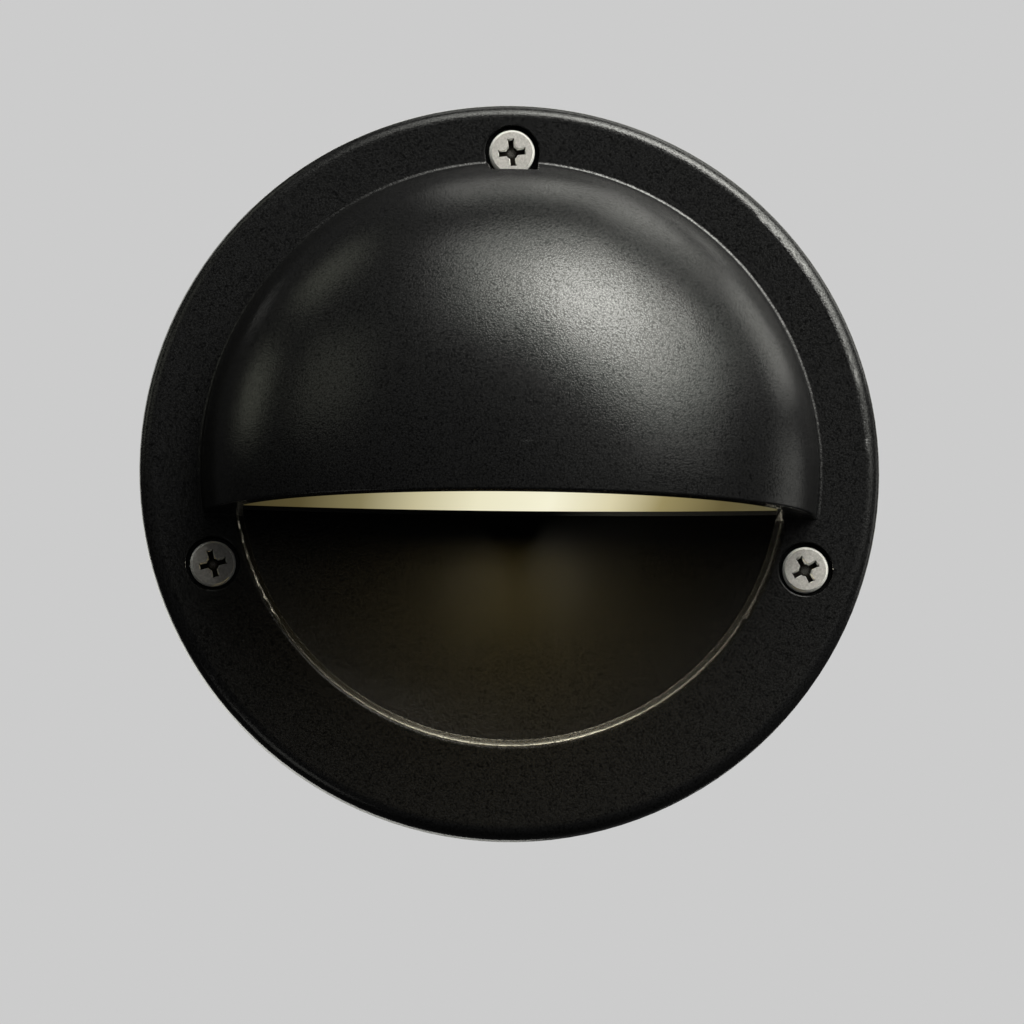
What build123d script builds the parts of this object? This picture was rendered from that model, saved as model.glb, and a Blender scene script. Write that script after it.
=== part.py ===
"""A round hooded step light for a recessed wall box, in millimetres.

The origin is on the light's axis, in the plane of the wall that it is let into. +Z is up and the
front looks along -Y, so a height off the wall is measured along -Y and a depth into it along +Y.
"""

import math
import os

from build123d import *

# ---------------------------------------------------------------- face casting
ring_radius = 65.0
face_height = 7.0
ring_edge_round = 2.5
rim_wall = 2.5
rim_wall_gap = 0.5
plate_thickness = 4.2

ring_land = 10.9
hood_rise = 39.0
hood_drop = 8.3
hood_wall = 1.9
hood_lip_width = 3.2
hood_base_fillet = 0.8
hood_lip_round = 0.4
hood_opening_inset = 5.1

recess_inset = 6.65
recess_wall_depth = 2.4
recess_wall_flare = 1.1
recess_edge_round = 1.3
recess_centre_depth = 7.0
dish_wall = 2.5

# ---------------------------------------------------------------- lens
lens_thickness = 3.0
lens_seat_thickness = 1.0
lens_gasket_thickness = 0.8
lens_clearance = 0.3

clip_thickness = 0.8
clip_width = 9.0
clip_reach = 6.0
clip_spacing = 44.0
clip_boss_radius = 3.4
clip_boss_drop = 6.5
clip_boss_end_depth = 6.0

# ---------------------------------------------------------------- cover screws
cover_screw_radius = 2.0
cover_screw_length = 8.0
cover_head_radius = 4.0
cover_head_thickness = 1.9
cover_head_bevel = 0.4
cover_head_sink = 0.5
counterbore_radius = 4.8
screw_hole_clearance = 0.25
washer_thickness = 0.6
washer_radius = 3.8
cross_span = 4.9
cross_width = 1.25
cross_depth = 1.5
cross_taper = 8.0
top_screw_inset = 8.6
side_screw_inset = 10.35
side_screw_drop_angle = 18.2
top_notch_half_width = 4.2
top_notch_drop = 5.1

# ---------------------------------------------------------------- back housing
cover_gasket_thickness = 0.8
flange_clearance = 0.6
flange_lip = 2.0
barrel_wall = 2.4
barrel_depth = 55.0
rear_wall = 2.5
rear_edge_round = 3.0
insert_radius = 2.8
insert_length = 5.0
insert_hole_spare = 1.0
insert_boss_radius = 4.6
insert_boss_end = 1.5
fit_gap = 0.03
running_gap = 0.05
wall_fixing_hole_radius = 2.25
wall_fixing_spacing = 56.0

# ---------------------------------------------------------------- lamp and holder
lamp_height = 12.0
bracket_thickness = 1.5
bracket_width = 14.0
bracket_depth = 8.0
bracket_edge_gap = 0.5
post_radius = 4.0
post_spacing = 81.0
post_web_width = 3.0
reflector_thickness = 0.8
reflector_radius = 44.0
reflector_width = 72.0
reflector_sill = 1.0
reflector_lip_reach = 7.5
holder_width = 19.0
holder_breadth = 10.0
holder_length = 7.7
holder_corner_round = 1.5
holder_screw_spacing = 13.0
pin_spacing = 4.0
pin_radius = 0.35
pin_length = 7.0
pin_clearance = 0.05
pin_root = 2.0
contact_radius = 1.0
contact_front_cover = 1.5
lamp_gap = 0.3
lamp_radius = 5.0
lamp_base_length = 6.0
lamp_base_chamfer = 0.5
lamp_bulb_length = 20.0
lamp_bulb_wall = 0.8
lamp_tip_round = 3.5
board_width = 5.0
board_thickness = 1.0
board_length = 15.0
chip_size = 2.0
chip_thickness = 0.7
chip_pitch = 4.0
chip_rows = 3

m3_radius = 1.5
m3_head_radius = 2.75
m3_head_thickness = 1.8
m3_head_bevel = 0.3
m3_hole_clearance = 0.1
small_cross_span = 3.2
small_cross_width = 0.9
small_cross_depth = 1.0
m3_nut_across_flats = 5.5
m3_nut_thickness = 2.4
bracket_screw_length = 8.0
holder_screw_length = 11.0
holder_head_sink = 0.5
lead_hole_clearance = 0.5
pin_hole_clearance = 0.15
clip_screw_length = 4.5
pilot_hole_spare = 0.6

# ---------------------------------------------------------------- terminal block and leads
terminal_pad_thickness = 1.5
terminal_pad_width = 12.0
terminal_width = 19.0
terminal_length = 16.0
terminal_depth = 14.0
terminal_bottom = -2.0
terminal_pitch = 9.2
terminal_wire_depth = 6.5
terminal_tube_radius = 2.0
terminal_tube_bore = 1.2
terminal_tube_inset = 1.0
terminal_screw_radius = 1.2
terminal_screw_spacing = 8.0
terminal_screw_sink = 1.0
terminal_screw_hole_clearance = 0.3
terminal_slot_width = 0.5
terminal_slot_depth = 0.8
terminal_waist = 3.6
terminal_waist_depth = 10.0
terminal_fixing_screw_length = 12.0
lead_radius = 0.9
lead_grip_length = 7.0
lead_first_run = 11.0
lead_crest_offset = 3.0
lead_rise_y = 28.0
lead_rise_level = 26.0
lead_crest_level = 29.0
bend_share = 0.45

# ---------------------------------------------------------------- cable gland
gland_drop = 26.0
gland_thread_radius = 8.0
gland_hole_clearance = 0.1
gland_flats = 22.0
gland_flange_thickness = 4.2
gland_washer_thickness = 0.8
gland_washer_width = 3.0
gland_nut_thread_length = 6.0
gland_inner_length = 5.5
gland_locknut_thickness = 4.0
gland_cable_bore = 4.0
gland_seal_radius = 5.4
gland_seal_bore = 3.25
gland_seal_length = 9.0
gland_seal_clearance = 0.1
gland_seal_proud = 1.0
gland_nut_radius = 10.5
gland_nut_wall_end = 4.0
gland_nut_gap = 0.6
gland_nut_clearance = 0.08
gland_nut_bore = 4.2
gland_nut_grips = 12
gland_nut_grip_radius = 1.0
gland_nut_edge_round = 2.0

# ---------------------------------------------------------------- radii that follow from them
hood_radius = ring_radius - ring_land
hood_opening_radius = hood_radius - hood_opening_inset
recess_radius = hood_radius - recess_inset
top_screw_circle = ring_radius - top_screw_inset
side_screw_circle = ring_radius - side_screw_inset
rim_inside = ring_radius - rim_wall
flange_radius = rim_inside - flange_clearance
barrel_radius = flange_radius - flange_lip
barrel_bore = barrel_radius - barrel_wall

# ---------------------------------------------------------------- heights that follow from them
seat_height = face_height - plate_thickness
flange_thickness = seat_height - cover_gasket_thickness
floor_depth = barrel_depth - rear_wall
insert_hole_end = flange_thickness - insert_length - insert_hole_spare
head_top = face_height - cover_head_sink
head_seat = head_top - cover_head_thickness
counterbore_floor = head_seat - washer_thickness
lens_seat_level = -hood_drop + lens_seat_thickness
lens_bottom = lens_seat_level + lens_gasket_thickness
lens_top = lens_bottom + lens_thickness
clip_boss_level = lens_seat_level - clip_boss_drop
lens_rear_height = face_height - recess_centre_depth - dish_wall + lens_clearance
bracket_front = -bracket_depth + bracket_thickness
holder_rear = bracket_front + reflector_thickness
holder_front = holder_rear + holder_length
holder_screw_seat = holder_front - holder_head_sink - m3_head_thickness
lamp_rear = holder_front + lamp_gap
reflector_sill_level = lens_top + clip_thickness + reflector_sill
terminal_base = -floor_depth + terminal_pad_thickness
terminal_front = terminal_base + terminal_depth
terminal_wire_y = -terminal_front + terminal_wire_depth
terminal_centre = (0, terminal_bottom + terminal_length / 2)
terminal_fixing_seat = terminal_base + terminal_waist_depth
gland_front = -floor_depth + gland_inner_length
gland_washer_rear = -barrel_depth - gland_washer_thickness
gland_flange_rear = gland_washer_rear - gland_flange_thickness
gland_thread_rear = gland_flange_rear - gland_nut_thread_length
gland_seal_rear = gland_thread_rear - gland_seal_proud
gland_seal_front = gland_seal_rear + gland_seal_length
gland_nut_front = gland_flange_rear - gland_nut_gap
gland_nut_rear = gland_seal_rear - gland_nut_wall_end

recess_rim_height = face_height - recess_wall_depth
dish_centre_height = face_height - recess_centre_depth
dish_sag = recess_rim_height - dish_centre_height
dish_front_radius = (recess_radius**2 + dish_sag**2) / (2 * dish_sag)

# Profiles that are turned about the light's axis: radius along X, height off the wall along local Y.
profile_plane = Plane(origin=(0, 0, 0), x_dir=(1, 0, 0), z_dir=(0, 0, -1))


def on_circle(radius, degrees):
    """A point of the face, at a radius from the axis and an angle up from +X."""
    angle = math.radians(degrees)
    return (radius * math.cos(angle), radius * math.sin(angle))


def face_plane(height):
    """The plane parallel to the wall at a height off it, with X to the right and Z up."""
    return Plane.XZ.offset(height)


def dish_height(radius):
    """Height off the wall of the recess's curved floor, at a radius from its centre."""
    rise = dish_front_radius - math.sqrt(dish_front_radius**2 - radius**2)
    return dish_centre_height + rise


cover_screw_places = {
    "top": on_circle(top_screw_circle, 90),
    "left": on_circle(side_screw_circle, 180 + side_screw_drop_angle),
    "right": on_circle(side_screw_circle, -side_screw_drop_angle),
}
cross_leans = {"top": 6.5, "left": 14.5, "right": 28.0}
clip_places = [(-clip_spacing / 2, clip_boss_level), (clip_spacing / 2, clip_boss_level)]
post_places = [(-post_spacing / 2, lamp_height), (post_spacing / 2, lamp_height)]
holder_screw_places = [
    (-holder_screw_spacing / 2, lamp_height),
    (holder_screw_spacing / 2, lamp_height),
]
pin_places = [(-pin_spacing / 2, lamp_height), (pin_spacing / 2, lamp_height)]
gland_place = (0, -gland_drop)

os.makedirs("parts", exist_ok=True)


def save(piece, name):
    """Label a finished piece and write it to its own file."""
    piece.part.label = name
    export_step(piece.part, f"parts/{name}.step")


def slab(low, high):
    """A block that holds everything between two levels of Z, to clip a turned shape with."""
    across = 4 * ring_radius
    with BuildPart(Plane.XY.offset(low)) as block:
        Box(across, across, high - low, align=(Align.CENTER, Align.CENTER, Align.MIN))
    return block.part


def rod(places, radius, start, end):
    """Round rods square to the wall, one at each place, from one height off the wall to another."""
    with BuildPart() as rods:
        with BuildSketch(face_plane(start)):
            with Locations(*places):
                Circle(radius)
        extrude(amount=end - start)
    return rods.part


def tube(places, radius, bore, start, end):
    """Round tubes square to the wall, one at each place."""
    with BuildPart() as tubes:
        with BuildSketch(face_plane(start)):
            with Locations(*places):
                Circle(radius)
                Circle(bore, mode=Mode.SUBTRACT)
        extrude(amount=end - start)
    return tubes.part


def hexagon_nut(places, across_flats, bore, start, end):
    """Six-sided nuts square to the wall, one at each place."""
    with BuildPart() as nuts:
        with BuildSketch(face_plane(start)):
            with Locations(*places):
                RegularPolygon(across_flats / 2, 6, major_radius=False)
                Circle(bore, mode=Mode.SUBTRACT)
        extrude(amount=end - start)
    return nuts.part


def cross_head_screw(place, seat, length, radius, head, cross, lean=0.0):
    """A screw driven from the front: head is its radius, thickness and bevel, cross its recess."""
    head_radius, thickness, bevel = head
    span, width, depth = cross
    with BuildPart() as screw:
        with BuildSketch(face_plane(seat)):
            with Locations(place):
                Circle(head_radius)
        extrude(amount=thickness)
        chamfer(edges().filter_by(GeomType.CIRCLE).sort_by(Axis.Y)[0], bevel)
        with BuildSketch(face_plane(seat)):
            with Locations(place):
                Circle(radius)
        extrude(amount=-length)
        chamfer(edges().filter_by(GeomType.CIRCLE).sort_by(Axis.Y)[-1], bevel)
        with BuildSketch(face_plane(seat + thickness)):
            with Locations(place):
                Rectangle(span, width, rotation=lean)
                Rectangle(width, span, rotation=lean)
                Circle(width)
        extrude(amount=-depth, taper=cross_taper, mode=Mode.SUBTRACT)
    return screw.part


def hood_profile(inset, greatest_radius, rear_height):
    """The half outline of the hood's oval dome drawn in by inset, run straight back to rear_height."""
    across = hood_radius - inset
    rise = hood_rise - inset
    radius = min(greatest_radius, across)
    first_angle = math.acos(radius / across)
    shoulder = (radius, face_height + rise * math.sin(first_angle))
    pole = (0, face_height + rise)
    # The handle lengths that lay a cubic curve on an ellipse between two of its angles.
    reach = 4 / 3 * math.tan((math.pi / 2 - first_angle) / 4)
    shoulder_handle = (
        shoulder[0] - reach * across * math.sin(first_angle),
        shoulder[1] + reach * rise * math.cos(first_angle),
    )
    pole_handle = (reach * across, pole[1])
    with BuildSketch() as outline:
        with BuildLine():
            Bezier(shoulder, shoulder_handle, pole_handle, pole)
            Polyline(pole, (0, rear_height), (radius, rear_height), shoulder)
        make_face()
    return outline.sketch


def hood_layer(inset, greatest_radius, rear_height, low, high):
    """What lies inside the hood's dome, drawn in by inset, between two levels of Z."""
    with BuildPart() as layer:
        with BuildSketch(profile_plane):
            add(hood_profile(inset, greatest_radius, rear_height))
        revolve(axis=Axis.Y)
        add(slab(low, high), mode=Mode.INTERSECT)
    return layer.part


def mouth_layer(low, high):
    """The D-shaped opening under the hood, in front of the recess's floor, between two levels."""
    radius = recess_radius - fit_gap
    with BuildPart() as layer:
        with BuildSketch(profile_plane):
            add(hood_profile(hood_lip_width, radius, dish_centre_height))
            with BuildLine():
                floor_edge = ThreePointArc(
                    (0, dish_height(0)),
                    (radius / 2, dish_height(radius / 2)),
                    (radius, dish_height(radius)),
                )
                Polyline(floor_edge @ 1, (radius, dish_centre_height), floor_edge @ 0)
            make_face(mode=Mode.SUBTRACT)
        revolve(axis=Axis.Y)
        add(slab(low, high), mode=Mode.INTERSECT)
    return layer.part


# ================================================================ face casting: ring, hood and recess
with BuildPart() as recess_space:
    with BuildSketch(profile_plane):
        with BuildLine():
            floor = ThreePointArc(
                (0, dish_height(0)),
                (recess_radius / 2, dish_height(recess_radius / 2)),
                (recess_radius, recess_rim_height),
            )
            recess_edge = (recess_radius + recess_wall_flare, face_height)
            Polyline(
                floor @ 1,
                recess_edge,
                (ring_radius, face_height),
                (ring_radius, face_height + recess_centre_depth),
                (0, face_height + recess_centre_depth),
                floor @ 0,
            )
        make_face()
        fillet(vertices().sort_by_distance(recess_edge)[0], recess_edge_round)
    revolve(axis=Axis.Y)
    add(slab(-2 * ring_radius, -hood_drop), mode=Mode.INTERSECT)

with BuildPart() as dish_back:
    with BuildSketch(profile_plane):
        with BuildLine():
            back = ThreePointArc(
                (0, dish_height(0) - dish_wall),
                (recess_radius / 2, dish_height(recess_radius / 2) - dish_wall),
                (recess_radius, recess_rim_height - dish_wall),
            )
            Polyline(back @ 1, (recess_radius, recess_rim_height), (0, recess_rim_height), back @ 0)
        make_face()
    revolve(axis=Axis.Y)
    add(slab(-2 * ring_radius, lens_seat_level), mode=Mode.INTERSECT)
    add(rod(clip_places, clip_boss_radius, seat_height, -clip_boss_end_depth))

with BuildPart() as face_casting:
    with BuildSketch(profile_plane):
        with BuildLine():
            Polyline(
                (0, seat_height),
                (rim_inside, seat_height),
                (rim_inside, rim_wall_gap),
                (ring_radius, rim_wall_gap),
                (ring_radius, face_height),
                (0, face_height),
                close=True,
            )
        make_face()
        fillet(vertices().sort_by_distance((ring_radius, face_height))[0], ring_edge_round)
    revolve(axis=Axis.Y)
    add(hood_layer(0, hood_radius, seat_height, -hood_drop, 2 * ring_radius))
    lip_edge = edges().filter_by_position(Axis.Y, -2 * ring_radius, -face_height - hood_lip_width)
    fillet(lip_edge, hood_lip_round)
    base_edges = edges().filter_by_position(Axis.Y, -face_height - fit_gap, -face_height + fit_gap)
    fillet(base_edges.sort_by(Edge.length)[:-1], hood_base_fillet)
    add(dish_back.part)
    add(recess_space.part, mode=Mode.SUBTRACT)
    add(mouth_layer(-hood_drop, lens_seat_level), mode=Mode.SUBTRACT)
    add(
        hood_layer(hood_wall, hood_opening_radius, -barrel_depth, lens_seat_level, 2 * ring_radius),
        mode=Mode.SUBTRACT,
    )
    add(
        rod(cover_screw_places.values(), counterbore_radius, counterbore_floor, face_height + hood_rise),
        mode=Mode.SUBTRACT,
    )
    with BuildSketch(face_plane(counterbore_floor)):
        notch_level = top_screw_circle - top_notch_drop
        with BuildLine():
            Polyline(
                (-top_notch_half_width, notch_level),
                (top_notch_half_width, notch_level),
                (counterbore_radius, top_screw_circle),
                (-counterbore_radius, top_screw_circle),
                close=True,
            )
        make_face()
    extrude(amount=hood_rise, mode=Mode.SUBTRACT)
    add(
        rod(
            cover_screw_places.values(),
            cover_screw_radius + screw_hole_clearance,
            0,
            face_height,
        ),
        mode=Mode.SUBTRACT,
    )
    add(
        rod(
            clip_places,
            m3_radius + fit_gap,
            -clip_boss_end_depth,
            clip_screw_length + pilot_hole_spare - clip_boss_end_depth,
        ),
        mode=Mode.SUBTRACT,
    )
save(face_casting, "face_casting")

# ================================================================ lens, its seal and its two clips
lens_outline = (hood_wall + lens_clearance, hood_opening_radius - lens_clearance, lens_rear_height)

with BuildPart() as lens_gasket:
    add(hood_layer(*lens_outline, lens_seat_level, lens_bottom))
    add(mouth_layer(lens_seat_level, lens_bottom), mode=Mode.SUBTRACT)
save(lens_gasket, "lens_gasket")

with BuildPart() as lens:
    add(hood_layer(*lens_outline, lens_bottom, lens_top))
save(lens, "lens")

with BuildPart() as lens_clips:
    with BuildSketch(Plane.YZ):
        back = clip_boss_end_depth
        foot = clip_boss_level - clip_boss_radius
        with BuildLine():
            Polyline(
                (back, foot),
                (back + clip_thickness, foot),
                (back + clip_thickness, lens_top + clip_thickness),
                (-lens_rear_height - clip_reach, lens_top + clip_thickness),
                (-lens_rear_height - clip_reach, lens_top),
                (back, lens_top),
                close=True,
            )
        make_face()
    extrude(amount=clip_width / 2, both=True)
    with BuildSketch(face_plane(-clip_boss_end_depth)):
        with Locations((0, clip_boss_level)):
            Circle(m3_radius + m3_hole_clearance)
    extrude(amount=-clip_thickness, mode=Mode.SUBTRACT)
    single_clip = lens_clips.part
    with Locations((-clip_spacing / 2, 0, 0), (clip_spacing / 2, 0, 0)):
        add(single_clip)
    add(single_clip, mode=Mode.SUBTRACT)
save(lens_clips, "lens_clips")

# ================================================================ cover screws and their washers
cover_head = (cover_head_radius, cover_head_thickness, cover_head_bevel)
cover_cross = (cross_span, cross_width, cross_depth)
small_head = (m3_head_radius, m3_head_thickness, m3_head_bevel)
small_cross = (small_cross_span, small_cross_width, small_cross_depth)

for side, place in cover_screw_places.items():
    with BuildPart() as cover_screw:
        add(
            cross_head_screw(
                place,
                head_seat,
                cover_screw_length,
                cover_screw_radius,
                cover_head,
                cover_cross,
                cross_leans[side],
            )
        )
    save(cover_screw, f"cover_screw_{side}")

    with BuildPart() as screw_washer:
        add(
            tube(
                [place],
                washer_radius,
                cover_screw_radius + running_gap,
                counterbore_floor,
                head_seat,
            )
        )
    save(screw_washer, f"screw_washer_{side}")

with BuildPart() as lens_clip_screws:
    for place in clip_places:
        add(
            cross_head_screw(place, 0, clip_screw_length, m3_radius, small_head, small_cross)
            .rotate(Axis((place[0], 0, place[1]), (0, 0, 1)), 180)
            .translate((0, clip_boss_end_depth + clip_thickness, 0))
        )
save(lens_clip_screws, "lens_clip_screws")

# ================================================================ back housing, gasket and threaded inserts
insert_places = cover_screw_places.values()


def screw_lobes(start, end):
    """Round lobes about the cover screws, one height to another, kept within the barrel's outline."""
    with BuildPart() as lobes:
        with BuildSketch(face_plane(start)):
            with Locations(*insert_places):
                Circle(insert_boss_radius)
            Circle(barrel_radius, mode=Mode.INTERSECT)
        extrude(amount=end - start)
    return lobes.part


with BuildPart() as back_housing:
    with BuildSketch(profile_plane):
        with BuildLine():
            Polyline(
                (0, -barrel_depth),
                (barrel_radius, -barrel_depth),
                (barrel_radius, 0),
                (flange_radius, 0),
                (flange_radius, flange_thickness),
                (barrel_bore, flange_thickness),
                (barrel_bore, -floor_depth),
                (0, -floor_depth),
                close=True,
            )
        make_face()
        fillet(vertices().sort_by_distance((barrel_radius, -barrel_depth))[0], rear_edge_round)
        fillet(vertices().sort_by_distance((barrel_bore, -floor_depth))[0], rear_edge_round - fit_gap)
    revolve(axis=Axis.Y)
    with BuildSketch(face_plane(-barrel_depth + rear_wall / 2)):
        web_end = math.sqrt(
            (barrel_radius - barrel_wall / 2) ** 2 - (lamp_height + post_web_width / 2) ** 2
        )
        web_length = web_end - post_spacing / 2
        for side in (-1, 1):
            with Locations((side * post_spacing / 2, lamp_height)):
                Circle(post_radius)
            with Locations((side * (post_spacing / 2 + web_length / 2), lamp_height)):
                Rectangle(web_length, post_web_width)
    extrude(amount=barrel_depth - rear_wall / 2 - bracket_depth)
    with BuildSketch(face_plane(-barrel_depth + rear_wall / 2)):
        with Locations((0, terminal_bottom + terminal_length / 2)):
            Rectangle(terminal_pad_width, terminal_length)
    extrude(amount=rear_wall / 2 + terminal_pad_thickness)
    add(screw_lobes(insert_hole_end - insert_boss_end, flange_thickness))
    add(rod(insert_places, insert_radius, insert_hole_end, flange_thickness), mode=Mode.SUBTRACT)
    add(
        rod(
            post_places,
            m3_radius + fit_gap,
            bracket_front - bracket_screw_length - pilot_hole_spare,
            -bracket_depth,
        ),
        mode=Mode.SUBTRACT,
    )
    add(
        rod(
            [terminal_centre],
            m3_radius + fit_gap,
            terminal_fixing_seat - terminal_fixing_screw_length - pilot_hole_spare,
            terminal_base,
        ),
        mode=Mode.SUBTRACT,
    )
    add(
        rod(
            [gland_place],
            gland_thread_radius + gland_hole_clearance,
            -barrel_depth,
            -floor_depth,
        ),
        mode=Mode.SUBTRACT,
    )
    wall_fixing_places = [(-wall_fixing_spacing / 2, 0), (wall_fixing_spacing / 2, 0)]
    add(
        rod(wall_fixing_places, wall_fixing_hole_radius, -barrel_depth, -floor_depth),
        mode=Mode.SUBTRACT,
    )
save(back_housing, "back_housing")

with BuildPart() as threaded_inserts:
    add(
        tube(
            insert_places,
            insert_radius - fit_gap,
            cover_screw_radius + running_gap,
            flange_thickness - insert_length,
            flange_thickness,
        )
    )
save(threaded_inserts, "threaded_inserts")

with BuildPart() as cover_gasket:
    add(tube([(0, 0)], flange_radius, barrel_bore, flange_thickness, seat_height))
    add(screw_lobes(flange_thickness, seat_height))
    add(
        rod(
            insert_places,
            cover_screw_radius + screw_hole_clearance,
            flange_thickness,
            seat_height,
        ),
        mode=Mode.SUBTRACT,
    )
save(cover_gasket, "cover_gasket")

# ================================================================ lampholder, its bracket and the reflector
with BuildPart() as holder_bracket:
    with BuildSketch(face_plane(-bracket_depth)):
        Circle(barrel_bore - bracket_edge_gap)
        with Locations((0, lamp_height)):
            Rectangle(2 * barrel_radius, bracket_width, mode=Mode.INTERSECT)
        with Locations(*post_places, *holder_screw_places):
            Circle(m3_radius + m3_hole_clearance, mode=Mode.SUBTRACT)
        with Locations(*pin_places):
            Circle(lead_radius + lead_hole_clearance, mode=Mode.SUBTRACT)
    extrude(amount=bracket_thickness)
save(holder_bracket, "holder_bracket")

with BuildPart() as bracket_screws:
    for place in post_places:
        add(
            cross_head_screw(
                place,
                bracket_front,
                bracket_screw_length,
                m3_radius,
                small_head,
                small_cross,
            )
        )
save(bracket_screws, "bracket_screws")

with BuildPart() as reflector:
    with BuildSketch(face_plane(bracket_front)):
        Circle(reflector_radius)
        with Locations((0, reflector_sill_level + reflector_radius / 2)):
            Rectangle(reflector_width, reflector_radius, mode=Mode.INTERSECT)
        with Locations(*holder_screw_places):
            Circle(m3_radius + m3_hole_clearance, mode=Mode.SUBTRACT)
        with Locations(*pin_places):
            Circle(lead_radius + lead_hole_clearance, mode=Mode.SUBTRACT)
    extrude(amount=reflector_thickness)
    with BuildSketch(face_plane(bracket_front)):
        with Locations((0, reflector_sill_level)):
            Rectangle(
                reflector_width,
                reflector_thickness,
                align=(Align.CENTER, Align.MIN),
            )
    extrude(amount=reflector_lip_reach)
save(reflector, "reflector")

with BuildPart() as lampholder:
    with BuildSketch(face_plane(holder_rear)):
        with Locations((0, lamp_height)):
            RectangleRounded(holder_width, holder_breadth, holder_corner_round)
    extrude(amount=holder_length)
    add(
        rod(
            holder_screw_places,
            m3_head_radius + m3_hole_clearance,
            holder_screw_seat,
            holder_front,
        ),
        mode=Mode.SUBTRACT,
    )
    add(
        rod(holder_screw_places, m3_radius + m3_hole_clearance, holder_rear, holder_front),
        mode=Mode.SUBTRACT,
    )
    add(
        rod(pin_places, contact_radius + fit_gap, holder_rear, holder_front - contact_front_cover),
        mode=Mode.SUBTRACT,
    )
    add(
        rod(pin_places, pin_radius + pin_hole_clearance, holder_rear, holder_front),
        mode=Mode.SUBTRACT,
    )
save(lampholder, "lampholder")

with BuildPart() as lampholder_contacts:
    add(
        tube(
            pin_places,
            contact_radius,
            pin_radius + pin_clearance,
            holder_rear,
            holder_front - contact_front_cover,
        )
    )
save(lampholder_contacts, "lampholder_contacts")

with BuildPart() as lampholder_screws:
    for place in holder_screw_places:
        add(
            cross_head_screw(
                place,
                holder_screw_seat,
                holder_screw_length,
                m3_radius,
                small_head,
                small_cross,
            )
        )
save(lampholder_screws, "lampholder_screws")

with BuildPart() as lampholder_nuts:
    add(
        hexagon_nut(
            holder_screw_places,
            m3_nut_across_flats,
            m3_radius + fit_gap,
            -bracket_depth - m3_nut_thickness,
            -bracket_depth,
        )
    )
save(lampholder_nuts, "lampholder_nuts")

# ================================================================ lamp
lamp_place = (0, lamp_height)
bulb_rear = lamp_rear + lamp_base_length
bulb_front = bulb_rear + lamp_bulb_length

with BuildPart() as lamp_base:
    add(rod([lamp_place], lamp_radius, lamp_rear, bulb_rear))
    chamfer(edges().filter_by(GeomType.CIRCLE).sort_by(Axis.Y)[-1], lamp_base_chamfer)
    add(rod(pin_places, pin_radius + fit_gap, lamp_rear, lamp_rear + pin_root), mode=Mode.SUBTRACT)
save(lamp_base, "lamp_base")

with BuildPart() as lamp_pins:
    add(rod(pin_places, pin_radius, lamp_rear - pin_length, lamp_rear + pin_root))
save(lamp_pins, "lamp_pins")

with BuildPart() as lamp_board:
    with BuildSketch(face_plane(bulb_rear)):
        with Locations(lamp_place):
            Rectangle(board_width, board_thickness)
    extrude(amount=board_length)
save(lamp_board, "lamp_board")

with BuildPart() as lamp_chips:
    for side in (-1, 1):
        chip_level = lamp_height + side * (board_thickness + chip_thickness) / 2
        for row in range(chip_rows):
            chip_height = bulb_rear + board_length / 2 + (row - (chip_rows - 1) / 2) * chip_pitch
            with Locations((0, -chip_height, chip_level)):
                Box(chip_size, chip_size, chip_thickness)
save(lamp_chips, "lamp_chips")

with BuildPart() as lamp_cover:
    add(rod([lamp_place], lamp_radius, bulb_rear, bulb_front))
    fillet(edges().filter_by(GeomType.CIRCLE).sort_by(Axis.Y)[0], lamp_tip_round)
    offset(
        amount=-lamp_bulb_wall,
        openings=faces().sort_by(Axis.Y)[-1],
    )
save(lamp_cover, "lamp_cover")

# ================================================================ terminal block and leads
terminal_places = [(-terminal_pitch / 2, terminal_centre[1]), (terminal_pitch / 2, terminal_centre[1])]
terminal_screw_places = []
for across, level in terminal_places:
    terminal_screw_places.append((across, level - terminal_screw_spacing / 2))
    terminal_screw_places.append((across, level + terminal_screw_spacing / 2))


def upright_rods(radius, bottom, top):
    """A round rod straight up through each pole of the terminal block."""
    with BuildPart(Plane.XY.offset(bottom)) as rods:
        with Locations(*[(across, terminal_wire_y) for across, level in terminal_places]):
            Cylinder(radius, top - bottom, align=(Align.CENTER, Align.CENTER, Align.MIN))
    return rods.part


with BuildPart() as terminal_block:
    with BuildSketch(face_plane(terminal_base)):
        with Locations(terminal_centre):
            Rectangle(terminal_width, terminal_length)
            Rectangle(terminal_waist, terminal_length, mode=Mode.SUBTRACT)
    extrude(amount=terminal_depth)
    with BuildSketch(face_plane(terminal_base)):
        with Locations(terminal_centre):
            Rectangle(terminal_waist, terminal_length)
    extrude(amount=terminal_waist_depth)
    add(
        upright_rods(
            terminal_tube_radius + fit_gap,
            terminal_bottom,
            terminal_bottom + terminal_length,
        ),
        mode=Mode.SUBTRACT,
    )
    add(
        rod(
            terminal_screw_places,
            terminal_screw_radius + terminal_screw_hole_clearance,
            -terminal_wire_y,
            terminal_front,
        ),
        mode=Mode.SUBTRACT,
    )
    add(
        rod([terminal_centre], m3_radius + m3_hole_clearance, terminal_base, terminal_front),
        mode=Mode.SUBTRACT,
    )
    add(
        rod([terminal_centre], m3_head_radius + m3_hole_clearance, terminal_fixing_seat, terminal_front),
        mode=Mode.SUBTRACT,
    )
save(terminal_block, "terminal_block")

with BuildPart() as terminal_tubes:
    tube_bottom = terminal_bottom + terminal_tube_inset
    tube_top = terminal_bottom + terminal_length - terminal_tube_inset
    add(upright_rods(terminal_tube_radius, tube_bottom, tube_top))
    add(upright_rods(terminal_tube_bore, tube_bottom, tube_top), mode=Mode.SUBTRACT)
    add(
        rod(
            terminal_screw_places,
            terminal_screw_radius + fit_gap,
            -terminal_wire_y,
            terminal_front,
        ),
        mode=Mode.SUBTRACT,
    )
save(terminal_tubes, "terminal_tubes")

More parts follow.
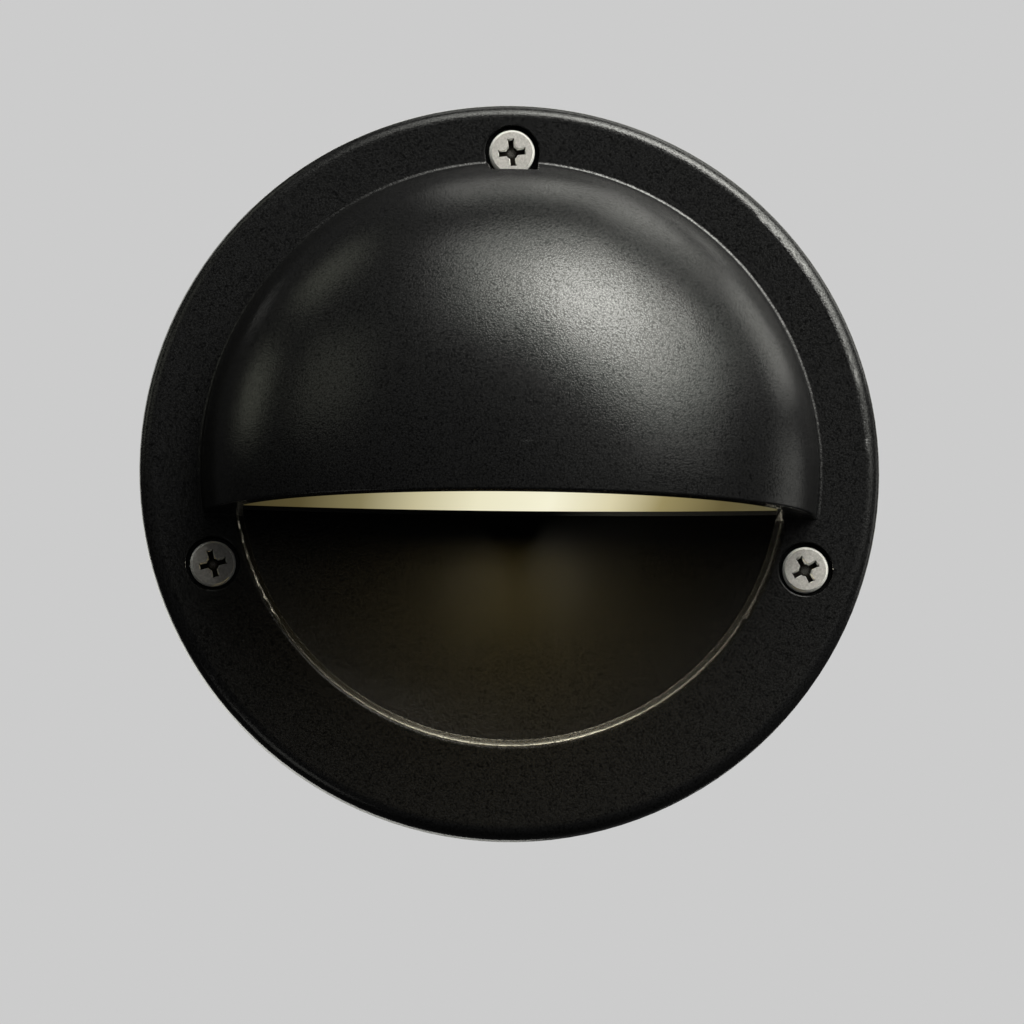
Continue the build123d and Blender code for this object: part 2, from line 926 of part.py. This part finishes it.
with BuildPart() as terminal_screws:
    screw_tip = -terminal_wire_y + lead_radius + pin_clearance
    screw_end = terminal_front - terminal_screw_sink
    add(rod(terminal_screw_places, terminal_screw_radius, screw_tip, screw_end))
    with BuildSketch(face_plane(screw_end)):
        with Locations(*terminal_screw_places):
            Rectangle(2 * terminal_screw_radius, terminal_slot_width)
    extrude(amount=-terminal_slot_depth, mode=Mode.SUBTRACT)
save(terminal_screws, "terminal_screws")

with BuildPart() as terminal_fixing_screw:
    add(
        cross_head_screw(
            terminal_centre,
            terminal_fixing_seat,
            terminal_fixing_screw_length,
            m3_radius,
            small_head,
            small_cross,
        )
    )
save(terminal_fixing_screw, "terminal_fixing_screw")


def bend_radii(points):
    """The largest tangent arc that fits each corner of a route without using up its runs."""
    radii = []
    for before, corner, after in zip(points, points[1:], points[2:]):
        run_in = Vector(*corner) - Vector(*before)
        run_out = Vector(*after) - Vector(*corner)
        half_turn = math.radians(run_in.get_angle(run_out)) / 2
        radii.append(bend_share * min(run_in.length, run_out.length) / math.tan(half_turn))
    return radii


for side, pole in ((-1, "left"), (1, "right")):
    lead_points = [
        (side * pin_spacing / 2, -holder_rear, lamp_height),
        (side * pin_spacing / 2, -holder_rear + lead_first_run, lamp_height),
        (side * lead_crest_offset, lead_rise_y, lead_rise_level),
        (side * terminal_pitch / 2, terminal_wire_y, lead_crest_level),
        (side * terminal_pitch / 2, terminal_wire_y, terminal_bottom + terminal_length - lead_grip_length),
    ]
    lead_bends = bend_radii(lead_points)
    with BuildPart() as lead:
        with BuildLine() as lead_route:
            FilletPolyline(*lead_points, radius=lead_bends)
        with BuildSketch(Plane(origin=lead_points[0], z_dir=(0, 1, 0))):
            Circle(lead_radius)
        sweep()
    save(lead, f"lamp_lead_{pole}")
    lead_length = sum(edge.length for edge in lead_route.edges())
    lead_fill = lead.part.volume / (math.pi * lead_radius**2 * lead_length)
    print(f"lamp lead {pole}: {lead_length:.1f} mm long, bends {[round(r, 1) for r in lead_bends]}")
    print(f"  its volume over section times length: {lead_fill:.4f}")

# ================================================================ cable gland
with BuildPart() as gland_washer:
    add(
        tube(
            [gland_place],
            gland_thread_radius + gland_washer_width,
            gland_thread_radius + gland_hole_clearance,
            gland_washer_rear,
            -barrel_depth,
        )
    )
save(gland_washer, "gland_washer")

with BuildPart() as gland_body:
    add(rod([gland_place], gland_thread_radius, gland_thread_rear, gland_front))
    add(
        hexagon_nut(
            [gland_place],
            gland_flats,
            gland_cable_bore,
            gland_flange_rear,
            gland_washer_rear,
        )
    )
    add(rod([gland_place], gland_cable_bore, gland_thread_rear, gland_front), mode=Mode.SUBTRACT)
    add(
        rod(
            [gland_place],
            gland_seal_radius + gland_seal_clearance,
            gland_thread_rear,
            gland_seal_front,
        ),
        mode=Mode.SUBTRACT,
    )
save(gland_body, "gland_body")

with BuildPart() as gland_locknut:
    add(
        hexagon_nut(
            [gland_place],
            gland_flats,
            gland_thread_radius + fit_gap,
            -floor_depth,
            -floor_depth + gland_locknut_thickness,
        )
    )
save(gland_locknut, "gland_locknut")

with BuildPart() as gland_seal:
    add(
        tube(
            [gland_place],
            gland_seal_radius,
            gland_seal_bore,
            gland_seal_rear,
            gland_seal_front,
        )
    )
save(gland_seal, "gland_seal")

with BuildPart() as gland_nut:
    add(rod([gland_place], gland_nut_radius, gland_nut_rear, gland_nut_front))
    fillet(edges().filter_by(GeomType.CIRCLE).sort_by(Axis.Y)[-1], gland_nut_edge_round)
    add(
        rod(
            [gland_place],
            gland_thread_radius + gland_nut_clearance,
            gland_seal_rear,
            gland_nut_front,
        ),
        mode=Mode.SUBTRACT,
    )
    add(rod([gland_place], gland_nut_bore, gland_nut_rear, gland_nut_front), mode=Mode.SUBTRACT)
    with BuildSketch(face_plane(gland_nut_rear)):
        with Locations(gland_place):
            with PolarLocations(gland_nut_radius, gland_nut_grips):
                Circle(gland_nut_grip_radius)
    extrude(amount=gland_nut_front - gland_nut_rear, mode=Mode.SUBTRACT)
save(gland_nut, "gland_nut")
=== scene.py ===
"""The step light dressed for its picture: finishes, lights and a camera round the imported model.

The script's places are in metres in the frame's own axes, where the front looks along -Y and +Z is
up. A name that ends in _mm is in millimetres, and so are the places and sizes of the lens's lights.
"""
import math

import bpy
from mathutils import Matrix, Vector


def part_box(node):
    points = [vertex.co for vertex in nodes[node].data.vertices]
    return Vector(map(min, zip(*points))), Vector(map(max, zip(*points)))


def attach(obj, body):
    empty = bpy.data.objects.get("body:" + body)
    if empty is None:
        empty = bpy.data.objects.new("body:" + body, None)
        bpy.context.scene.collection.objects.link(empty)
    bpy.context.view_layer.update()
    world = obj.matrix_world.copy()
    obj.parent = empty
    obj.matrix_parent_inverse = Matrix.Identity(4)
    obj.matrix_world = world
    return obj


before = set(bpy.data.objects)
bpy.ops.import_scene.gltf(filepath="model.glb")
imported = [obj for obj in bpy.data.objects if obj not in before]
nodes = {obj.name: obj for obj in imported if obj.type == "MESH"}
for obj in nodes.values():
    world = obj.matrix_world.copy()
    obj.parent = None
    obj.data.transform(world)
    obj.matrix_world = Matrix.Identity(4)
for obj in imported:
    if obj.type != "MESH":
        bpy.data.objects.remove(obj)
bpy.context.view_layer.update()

MM = 0.001

# ---------------------------------------------------------------- the photograph's view
IMAGE_SIZE = 1024
PIXELS_PER_MM = 5.705
FACE_CENTRE_PX = (510.3, 469.4)
VIEW_AZIMUTH = -2.0
VIEW_ELEVATION = -7.0
VIEW_ROLL = -0.35
CAMERA_DISTANCE = 1.5
SENSOR_WIDTH = 36.0
CLIP_NEAR = 0.01
CLIP_FAR = 20.0

# The middle of the ring's front, which the camera and the soft boxes are set round.
RING_FRONT_Y = -7.0 * MM
FACE_CENTRE = Vector((0.0, RING_FRONT_Y, 0.0))

# ---------------------------------------------------------------- backdrop
BACKDROP_GREY = (0.604, 0.604, 0.604, 1.0)
FLOOR_HALF = 3.0
FLOOR_LEVEL = -0.6

# ---------------------------------------------------------------- studio light
STUDIO_FILL = 0.03
LIGHT_DISTANCE = 1.0
SOFT_WHITE = (1.0, 1.0, 0.93)
OLIVE_WHITE = (0.97, 1.0, 0.80)
# name, azimuth from the front, elevation, side of the square in metres, watts, colour
SOFT_BOXES = (
    # The broad highlight on the right of the hood.
    ("key_high", 20.0, 60.0, 0.7, 3.1, SOFT_WHITE),
    ("key_top", 0.0, 62.0, 0.7, 1.1, SOFT_WHITE),
    ("key_top_core", 10.0, 55.0, 0.4, 1.3, SOFT_WHITE),
    ("key_core", 30.0, 50.0, 0.4, 1.6, SOFT_WHITE),
    ("key_core_high", 42.0, 55.0, 0.4, 1.4, SOFT_WHITE),
    ("key_wide", 42.0, 46.0, 0.7, 1.2, SOFT_WHITE),
    ("key_front", 30.0, 41.0, 0.4, 2.6, SOFT_WHITE),
    ("key_right", 60.0, 45.0, 0.4, 1.3, SOFT_WHITE),
    ("key_low", 40.0, 28.0, 0.4, 1.4, SOFT_WHITE),
    ("right", 56.0, 34.0, 0.5, 1.7, SOFT_WHITE),
    ("right_low", 50.0, 18.0, 0.5, 0.7, SOFT_WHITE),
    # The thin lights along the right and upper edges of the hood and the ring.
    ("side_right", 80.0, 35.0, 0.4, 0.3, SOFT_WHITE),
    ("side_right_low", 110.0, 0.0, 0.4, 0.3, SOFT_WHITE),
    ("rear_right", 118.0, 30.0, 0.4, 0.7, SOFT_WHITE),
    ("rear_right_high", 115.0, 55.0, 0.4, 0.5, SOFT_WHITE),
    ("rear_high", 140.0, 60.0, 0.4, 0.6, SOFT_WHITE),
    ("rear_top", 180.0, 70.0, 0.4, 0.5, SOFT_WHITE),
    # The dim olive patches on the left of the hood.
    ("left", -60.0, 25.0, 0.4, 0.20, OLIVE_WHITE),
    ("side_left", -100.0, 20.0, 0.3, 0.19, OLIVE_WHITE),
    ("side_left_high", -100.0, 50.0, 0.3, 0.17, OLIVE_WHITE),
    # A little light on the ring's front and its lower left edge.
    ("front", 25.0, 0.0, 0.5, 0.06, SOFT_WHITE),
    ("below_left", -60.0, -45.0, 0.4, 0.3, SOFT_WHITE),
    # The back of the housing, for views from behind.
    ("back_left", -162.0, 10.0, 0.8, 2.2, SOFT_WHITE),
    ("back_right", 168.0, 20.0, 0.8, 2.2, SOFT_WHITE),
)

# ---------------------------------------------------------------- the lens's own light
# The lens glows over its whole width, and throws a warm pool down on the recess and three paler
# gleams that fan out to catch the rim of the recess.
LENS_GLOW_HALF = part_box("lens")[1].x
POOL_WARM = (1.0, 0.76, 0.26)
GLEAM_WARM = (1.0, 0.93, 0.72)
GLEAM_PLACE = (1.0, -11.0, -9.2)
GLEAM_SIZE = (12.0, 6.0)
# name, place in mm, width and depth in mm, lean from straight down, spread, watts, colour
LENS_POOL = ("lens_pool", (1.0, -23.0, -11.0), (14.0, 8.0), 0.0, 180.0, 0.028, POOL_WARM)
LENS_GLEAMS = (
    ("lens_gleam", GLEAM_PLACE, GLEAM_SIZE, 0.0, 110.0, 0.0013, GLEAM_WARM),
    ("lens_gleam_left", GLEAM_PLACE, GLEAM_SIZE, -44.0, 105.0, 0.0048, GLEAM_WARM),
    ("lens_gleam_right", GLEAM_PLACE, GLEAM_SIZE, 56.0, 110.0, 0.0130, GLEAM_WARM),
)

# ---------------------------------------------------------------- shading
BEVEL_SAMPLES = 6
OPENNESS_SAMPLES = 12


# ================================================================ node helpers
def new_material(name):
    """A material with an empty tree but for its surface shader and output."""
    material = bpy.data.materials.new(name)
    material.use_nodes = True
    tree = material.node_tree
    tree.nodes.clear()
    output = tree.nodes.new("ShaderNodeOutputMaterial")
    shader = tree.nodes.new("ShaderNodeBsdfPrincipled")
    tree.links.new(shader.outputs["BSDF"], output.inputs["Surface"])
    return material, tree, shader


def object_coordinates(tree, scale=(1.0, 1.0, 1.0)):
    """Coordinates that are fixed to the piece, stretched by scale."""
    coordinates = tree.nodes.new("ShaderNodeTexCoord")
    mapping = tree.nodes.new("ShaderNodeMapping")
    mapping.inputs["Scale"].default_value = scale
    tree.links.new(coordinates.outputs["Object"], mapping.inputs["Vector"])
    return mapping.outputs["Vector"]


def noise(tree, vector, size_mm, detail=2.0, roughness=0.5):
    """Noise whose features are about size_mm across."""
    texture = tree.nodes.new("ShaderNodeTexNoise")
    texture.inputs["Scale"].default_value = 1.0 / (size_mm * MM)
    texture.inputs["Detail"].default_value = detail
    texture.inputs["Roughness"].default_value = roughness
    tree.links.new(vector, texture.inputs["Vector"])
    return texture.outputs["Fac"]


def cells(tree, vector, size_mm):
    """Rounded cells about size_mm across: 0 in the middle of each, rising to its edge."""
    texture = tree.nodes.new("ShaderNodeTexVoronoi")
    texture.feature = "SMOOTH_F1"
    texture.inputs["Scale"].default_value = 1.0 / (size_mm * MM)
    tree.links.new(vector, texture.inputs["Vector"])
    return texture.outputs["Distance"]


def spread(tree, value, low, high):
    """The value's 0 to 1 mapped to low to high."""
    node = tree.nodes.new("ShaderNodeMapRange")
    node.inputs["To Min"].default_value = low
    node.inputs["To Max"].default_value = high
    tree.links.new(value, node.inputs["Value"])
    return node.outputs["Result"]


def ramp(tree, value, stops):
    """A colour ramp with (place, colour) stops."""
    node = tree.nodes.new("ShaderNodeValToRGB")
    elements = node.color_ramp.elements
    # A new stop starts in the middle and gets its own place below.
    while len(elements) < len(stops):
        elements.new(0.5)
    for element, (place, colour) in zip(elements, stops):
        element.position = place
        element.color = (*colour, 1.0)
    tree.links.new(value, node.inputs["Fac"])
    return node.outputs["Color"]


def bump(tree, height, distance_mm, below=None):
    """A bump whose full height is distance_mm, laid over the normal below it."""
    node = tree.nodes.new("ShaderNodeBump")
    node.inputs["Distance"].default_value = distance_mm * MM
    tree.links.new(height, node.inputs["Height"])
    if below is not None:
        tree.links.new(below, node.inputs["Normal"])
    return node.outputs["Normal"]


def rounded_edges(tree, radius_mm):
    """A normal that rounds sharp edges to about radius_mm."""
    node = tree.nodes.new("ShaderNodeBevel")
    node.samples = BEVEL_SAMPLES
    node.inputs["Radius"].default_value = radius_mm * MM
    return node.outputs["Normal"]


def openness(tree, reach_mm, closed, opened):
    """How open the surface is to the air within reach_mm of itself.

    It is 0 where no more than the share closed of the directions is free, and 1 from the share opened.
    """
    occlusion = tree.nodes.new("ShaderNodeAmbientOcclusion")
    occlusion.samples = OPENNESS_SAMPLES
    occlusion.only_local = True
    occlusion.inputs["Distance"].default_value = reach_mm * MM
    node = tree.nodes.new("ShaderNodeMapRange")
    node.inputs["From Min"].default_value = closed
    node.inputs["From Max"].default_value = opened
    tree.links.new(occlusion.outputs["AO"], node.inputs["Value"])
    return node.outputs["Result"]


def turned_aside(tree, start, full):
    """0 where the surface leans under start degrees from the piece's y axis, and 1 from full degrees."""
    coordinates = tree.nodes.new("ShaderNodeTexCoord")
    split = tree.nodes.new("ShaderNodeSeparateXYZ")
    size = tree.nodes.new("ShaderNodeMath")
    size.operation = "ABSOLUTE"
    node = tree.nodes.new("ShaderNodeMapRange")
    node.inputs["From Min"].default_value = math.cos(math.radians(start))
    node.inputs["From Max"].default_value = math.cos(math.radians(full))
    tree.links.new(coordinates.outputs["Normal"], split.inputs["Vector"])
    tree.links.new(split.outputs["Y"], size.inputs[0])
    tree.links.new(size.outputs["Value"], node.inputs["Value"])
    return node.outputs["Result"]


def product(tree, first, second):
    """Two values multiplied."""
    node = tree.nodes.new("ShaderNodeMath")
    node.operation = "MULTIPLY"
    tree.links.new(first, node.inputs[0])
    tree.links.new(second, node.inputs[1])
    return node.outputs["Value"]


def mixed(tree, factor, first, second):
    """The first colour where the factor is 0 and the second where it is 1."""
    node = tree.nodes.new("ShaderNodeMixRGB")
    tree.links.new(factor, node.inputs["Fac"])
    for value, socket in ((first, node.inputs["Color1"]), (second, node.inputs["Color2"])):
        if isinstance(value, tuple):
            socket.default_value = (*value, 1.0)
        else:
            tree.links.new(value, socket)
    return node.outputs["Color"]


def cloudy_colour(tree, cloud, dark, light):
    """A colour that drifts from dark to light with a cloudy noise."""
    cloud_low, cloud_high = 0.3, 0.7
    return ramp(tree, cloud, [(cloud_low, dark), (cloud_high, light)])


def grey(level):
    """The grey with this level."""
    return (level, level, level)


def dress(material, *names):
    """Give CAD nodes one material."""
    for name in names:
        data = nodes[name].data
        data.materials.clear()
        data.materials.append(material)


# ================================================================ finishes
def powder_coat():
    """Black powder coat with a fine leather grain, thick enough to round the casting's edges."""
    edge_round_mm = 0.25
    grain_mm = 0.28
    crease_depth_mm = 0.026
    patch_mm = 6.0
    smoothest, roughest = 0.22, 0.26
    # Painted shade: the creases of the grain are painted darker and duller than its tops, as shade
    # falling in them.
    top, crease = 0.0, 0.75
    top_black, shaded_crease_black = (0.0150, 0.0150, 0.0155), (0.0024, 0.0024, 0.0026)
    top_gloss, shaded_crease_gloss = grey(0.78), grey(0.22)

    material, tree, shader = new_material("black_powder_coat")
    place = object_coordinates(tree)
    patches = noise(tree, place, patch_mm, detail=3.0)
    grain = cells(tree, place, grain_mm)
    normal = bump(tree, grain, -crease_depth_mm, below=rounded_edges(tree, edge_round_mm))
    colour = ramp(tree, grain, [(top, top_black), (crease, shaded_crease_black)])
    gloss = ramp(tree, grain, [(top, top_gloss), (crease, shaded_crease_gloss)])
    tree.links.new(colour, shader.inputs["Base Color"])
    tree.links.new(gloss, shader.inputs["Specular IOR Level"])
    tree.links.new(spread(tree, patches, smoothest, roughest), shader.inputs["Roughness"])
    tree.links.new(normal, shader.inputs["Normal"])
    return material


def metal(name, colour, roughness, stretch=(1.0, 1.0, 1.0)):
    """A bare metal with a little grain in its gloss, finer along the axes that stretch makes longer."""
    grain_mm, grain_depth_mm, cloud_mm = 0.25, 0.004, 1.0
    shade = 0.82
    smoother, rougher = 0.05, 0.08
    dark = tuple(shade * part for part in colour)

    material, tree, shader = new_material(name)
    place = object_coordinates(tree, stretch)
    cloud = noise(tree, place, cloud_mm, detail=4.0, roughness=0.6)
    shader.inputs["Metallic"].default_value = 1.0
    tree.links.new(cloudy_colour(tree, cloud, dark, colour), shader.inputs["Base Color"])
    drift = spread(tree, cloud, roughness - smoother, roughness + rougher)
    tree.links.new(drift, shader.inputs["Roughness"])
    tree.links.new(bump(tree, noise(tree, place, grain_mm), grain_depth_mm), shader.inputs["Normal"])
    return material


def moulded(name, colour, roughness, grain_mm=0.3, grain_depth_mm=0.01):
    """A moulded plastic, rubber or ceramic with a faint grain and a cloudy tone."""
    cloud_mm = 3.0
    shade = 0.86
    roughness_swing = 0.06
    dark = tuple(shade * part for part in colour)

    material, tree, shader = new_material(name)
    place = object_coordinates(tree)
    cloud = noise(tree, place, cloud_mm, detail=3.0)
    tree.links.new(cloudy_colour(tree, cloud, dark, colour), shader.inputs["Base Color"])
    drift = spread(tree, cloud, roughness - roughness_swing, roughness + roughness_swing)
    tree.links.new(drift, shader.inputs["Roughness"])
    tree.links.new(bump(tree, noise(tree, place, grain_mm), grain_depth_mm), shader.inputs["Normal"])
    return material


def screw_steel():
    """Speckled stainless steel, with painted shade in the depth of its cross recess and a painted white
    highlight along its edges.
    """
    speck_mm, grain_mm, grain_depth_mm = 0.35, 0.18, 0.014
    recess_reach_mm, edge_reach_mm = 1.6, 0.6
    smoothest, roughest = 0.50, 0.66
    dull_steel, clean_steel = (0.38, 0.365, 0.35), (0.64, 0.62, 0.60)
    recess_shade, edge_highlight_white = (0.015, 0.013, 0.011), (0.95, 0.94, 0.90)

    material, tree, shader = new_material("stainless_screw")
    place = object_coordinates(tree)
    specks = noise(tree, place, speck_mm, detail=4.0, roughness=0.7)
    steel = cloudy_colour(tree, specks, dull_steel, clean_steel)
    # Painted shade: the colour goes to near black where the cross recess closes in.
    out_of_recess = openness(tree, recess_reach_mm, closed=0.75, opened=0.98)
    on_the_outside = openness(tree, edge_reach_mm, closed=0.60, opened=0.80)
    # Painted highlight on the edges that lean aside and stand free.
    edge_highlight = product(tree, turned_aside(tree, start=12.0, full=40.0), on_the_outside)
    colour = mixed(tree, edge_highlight, mixed(tree, out_of_recess, recess_shade, steel), edge_highlight_white)
    tree.links.new(colour, shader.inputs["Base Color"])
    # Painted highlight: the edges are painted white and shaded as a white solid and not as a mirror, so
    # they show as bright lines.
    tree.links.new(spread(tree, edge_highlight, 1.0, 0.0), shader.inputs["Metallic"])
    tree.links.new(spread(tree, specks, smoothest, roughest), shader.inputs["Roughness"])
    tree.links.new(bump(tree, noise(tree, place, grain_mm), grain_depth_mm), shader.inputs["Normal"])
    return material


def frosted_lens():
    """The frosted lens, lit from inside: brightest in the middle, olive gold at its ends."""
    frosted_white = (0.10, 0.095, 0.08, 1.0)
    # place over the lens's width, from its left end to its right, and the glow there
    glow_stops = [
        (0.00, (0.045, 0.036, 0.014)),
        (0.12, (0.090, 0.072, 0.028)),
        (0.23, (0.23, 0.20, 0.098)),
        (0.33, (0.55, 0.50, 0.31)),
        (0.44, (0.82, 0.78, 0.56)),
        (0.57, (0.90, 0.87, 0.66)),
        (0.68, (0.68, 0.62, 0.40)),
        (0.77, (0.30, 0.25, 0.11)),
        (0.88, (0.12, 0.096, 0.038)),
        (1.00, (0.088, 0.080, 0.040)),
    ]

    material, tree, shader = new_material("frosted_lens")
    split = tree.nodes.new("ShaderNodeSeparateXYZ")
    tree.links.new(object_coordinates(tree), split.inputs["Vector"])
    across = tree.nodes.new("ShaderNodeMapRange")
    across.inputs["From Min"].default_value = -LENS_GLOW_HALF
    across.inputs["From Max"].default_value = LENS_GLOW_HALF
    tree.links.new(split.outputs["X"], across.inputs["Value"])
    glow = ramp(tree, across.outputs["Result"], glow_stops)
    shader.inputs["Base Color"].default_value = frosted_white
    shader.inputs["Roughness"].default_value = 0.5
    tree.links.new(glow, shader.inputs["Emission Color"])
    shader.inputs["Emission Strength"].default_value = 1.0
    return material


zinc = metal("zinc_screw", (0.62, 0.63, 0.65), 0.3)
spring_steel = metal("spring_steel", (0.55, 0.55, 0.56), 0.32, stretch=(1.0, 6.0, 6.0))
brass = metal("brass_insert", (0.80, 0.58, 0.25), 0.3)
nickel = metal("contact_metal", (0.70, 0.68, 0.62), 0.28)
aluminium = metal("reflector_aluminium", (0.85, 0.85, 0.86), 0.4)
rubber = moulded("gasket_rubber", (0.02, 0.02, 0.021), 0.7)
silicone = moulded("silicone_seal", (0.012, 0.012, 0.012), 0.6)
nylon = moulded("gland_nylon", (0.018, 0.018, 0.019), 0.45)
ceramic = moulded("holder_ceramic", (0.80, 0.78, 0.70), 0.55)
white_plastic = moulded("lamp_plastic", (0.85, 0.85, 0.82), 0.4)
laminate = moulded("board_laminate", (0.82, 0.83, 0.80), 0.35)
phosphor = moulded("led_phosphor", (0.85, 0.62, 0.10), 0.3)
diffuser = moulded("lamp_diffuser", (0.88, 0.87, 0.82), 0.35)
block_plastic = moulded("terminal_plastic", (0.72, 0.71, 0.66), 0.45)
black_lead = moulded("lead_black", (0.02, 0.02, 0.02), 0.4)
red_lead = moulded("lead_red", (0.42, 0.02, 0.015), 0.4)
housing_coat = moulded("housing_coat", (0.022, 0.022, 0.023), 0.55, grain_mm=0.6, grain_depth_mm=0.05)

dress(powder_coat(), "face_casting")
dress(frosted_lens(), "lens")
dress(silicone, "lens_gasket")
dress(spring_steel, "lens_clips", "holder_bracket")
dress(zinc, "lens_clip_screws", "bracket_screws", "lampholder_screws", "lampholder_nuts")
dress(zinc, "terminal_screws", "terminal_fixing_screw")
dress(screw_steel(), "cover_screw_top", "cover_screw_left", "cover_screw_right")
dress(rubber, "screw_washer_top", "screw_washer_left", "screw_washer_right")
dress(rubber, "cover_gasket", "gland_washer", "gland_seal")
dress(housing_coat, "back_housing")
dress(brass, "threaded_inserts", "terminal_tubes")
dress(aluminium, "reflector")
dress(ceramic, "lampholder")
dress(nickel, "lampholder_contacts", "lamp_pins")
dress(white_plastic, "lamp_base")
dress(laminate, "lamp_board")
dress(phosphor, "lamp_chips")
dress(diffuser, "lamp_cover")
dress(block_plastic, "terminal_block")
dress(black_lead, "lamp_lead_left")
dress(red_lead, "lamp_lead_right")
dress(nylon, "gland_body", "gland_locknut", "gland_nut")


# ================================================================ lights, floor and camera
def direction(azimuth, elevation):
    """The unit vector towards a place in the studio: azimuth 0 is the front, and right is positive."""
    across, up = math.radians(azimuth), math.radians(elevation)
    return Vector(
        (math.sin(across) * math.cos(up), -math.cos(across) * math.cos(up), math.sin(up))
    )


def place_light(data, name, location, away):
    """Put a light at a place with its back to a direction, unseen by the camera."""
    light = bpy.data.objects.new(name, data)
    bpy.context.scene.collection.objects.link(light)
    light.location = location
    light.rotation_euler = away.to_track_quat("Z", "Y").to_euler()
    light.visible_camera = False
    return light


def soft_box(name, azimuth, elevation, size, power, colour):
    """A square soft box that shines on the face."""
    data = bpy.data.lights.new(name, "AREA")
    data.size = size
    data.energy = power
    data.color = colour
    away = direction(azimuth, elevation)
    return place_light(data, name, FACE_CENTRE + away * LIGHT_DISTANCE, away)


def lens_light(name, place, size, lean, spread_degrees, power, colour):
    """Light that the lens throws down, leaning to the left or right, which rides with the cover."""
    data = bpy.data.lights.new(name, "AREA")
    data.shape = "RECTANGLE"
    data.size, data.size_y = (side * MM for side in size)
    data.spread = math.radians(spread_degrees)
    data.energy = power
    data.color = colour
    away = Vector((-math.sin(math.radians(lean)), 0.0, math.cos(math.radians(lean))))
    light = place_light(data, name, Vector(place) * MM, away)
    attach(light, "cover")
    return light


def studio_world():
    """A flat pale backdrop for the camera, and a dim even fill for the object."""
    world = bpy.data.worlds.new("studio")
    bpy.context.scene.world = world
    world.use_nodes = True
    tree = world.node_tree
    tree.nodes.clear()
    output = tree.nodes.new("ShaderNodeOutputWorld")
    mix = tree.nodes.new("ShaderNodeMixShader")
    ray = tree.nodes.new("ShaderNodeLightPath")
    fill = tree.nodes.new("ShaderNodeBackground")
    seen = tree.nodes.new("ShaderNodeBackground")
    fill.inputs["Color"].default_value = (1.0, 1.0, 1.0, 1.0)
    fill.inputs["Strength"].default_value = STUDIO_FILL
    seen.inputs["Color"].default_value = BACKDROP_GREY
    tree.links.new(ray.outputs["Is Camera Ray"], mix.inputs["Fac"])
    tree.links.new(fill.outputs["Background"], mix.inputs[1])
    tree.links.new(seen.outputs["Background"], mix.inputs[2])
    tree.links.new(mix.outputs["Shader"], output.inputs["Surface"])


def studio_floor():
    """A plain floor that is as pale as the backdrop and throws no light on the part."""
    corners = [
        (-FLOOR_HALF, -FLOOR_HALF, FLOOR_LEVEL),
        (FLOOR_HALF, -FLOOR_HALF, FLOOR_LEVEL),
        (FLOOR_HALF, FLOOR_HALF, FLOOR_LEVEL),
        (-FLOOR_HALF, FLOOR_HALF, FLOOR_LEVEL),
    ]
    data = bpy.data.meshes.new("studio_floor")
    data.from_pydata(corners, [], [(0, 1, 2, 3)])
    material, _, shader = new_material("studio_floor")
    shader.inputs["Base Color"].default_value = (0.0, 0.0, 0.0, 1.0)
    shader.inputs["Specular IOR Level"].default_value = 0.0
    shader.inputs["Emission Color"].default_value = BACKDROP_GREY
    shader.inputs["Emission Strength"].default_value = 1.0
    data.materials.append(material)
    floor = bpy.data.objects.new("studio_floor", data)
    bpy.context.scene.collection.objects.link(floor)
    floor.visible_diffuse = False
    floor.visible_glossy = False


def photo_camera():
    """The camera of the photograph, from a little below, with the face where the photograph has it."""
    data = bpy.data.cameras.new("photo_camera")
    camera = bpy.data.objects.new("photo_camera", data)
    bpy.context.scene.collection.objects.link(camera)
    bpy.context.scene.camera = camera
    data.sensor_width = SENSOR_WIDTH
    data.lens = PIXELS_PER_MM / MM * CAMERA_DISTANCE * SENSOR_WIDTH / IMAGE_SIZE
    data.clip_start = CLIP_NEAR
    data.clip_end = CLIP_FAR
    back = direction(VIEW_AZIMUTH, VIEW_ELEVATION)
    roll = Matrix.Rotation(math.radians(-VIEW_ROLL), 3, "Z").to_quaternion()
    turn = back.to_track_quat("Z", "Y") @ roll
    right = turn @ Vector((1, 0, 0))
    up = turn @ Vector((0, 1, 0))
    off_right = (FACE_CENTRE_PX[0] - IMAGE_SIZE / 2) / PIXELS_PER_MM * MM
    off_up = (IMAGE_SIZE / 2 - FACE_CENTRE_PX[1]) / PIXELS_PER_MM * MM
    camera.rotation_mode = "QUATERNION"
    camera.rotation_quaternion = turn
    camera.location = FACE_CENTRE + back * CAMERA_DISTANCE - right * off_right - up * off_up


studio_world()
for soft_box_values in SOFT_BOXES:
    soft_box(*soft_box_values)
# The pool lights the coat's own colour, and the gleams show only in its gloss.
lens_light(*LENS_POOL).visible_glossy = False
for gleam_values in LENS_GLEAMS:
    lens_light(*gleam_values).visible_diffuse = False
# The lights above stand for the lens's glow on the face, so the glow itself lights nothing.
nodes["lens"].visible_diffuse = False
nodes["lens"].visible_glossy = False
photo_camera()
studio_floor()
bpy.context.scene.view_settings.view_transform = "Standard"
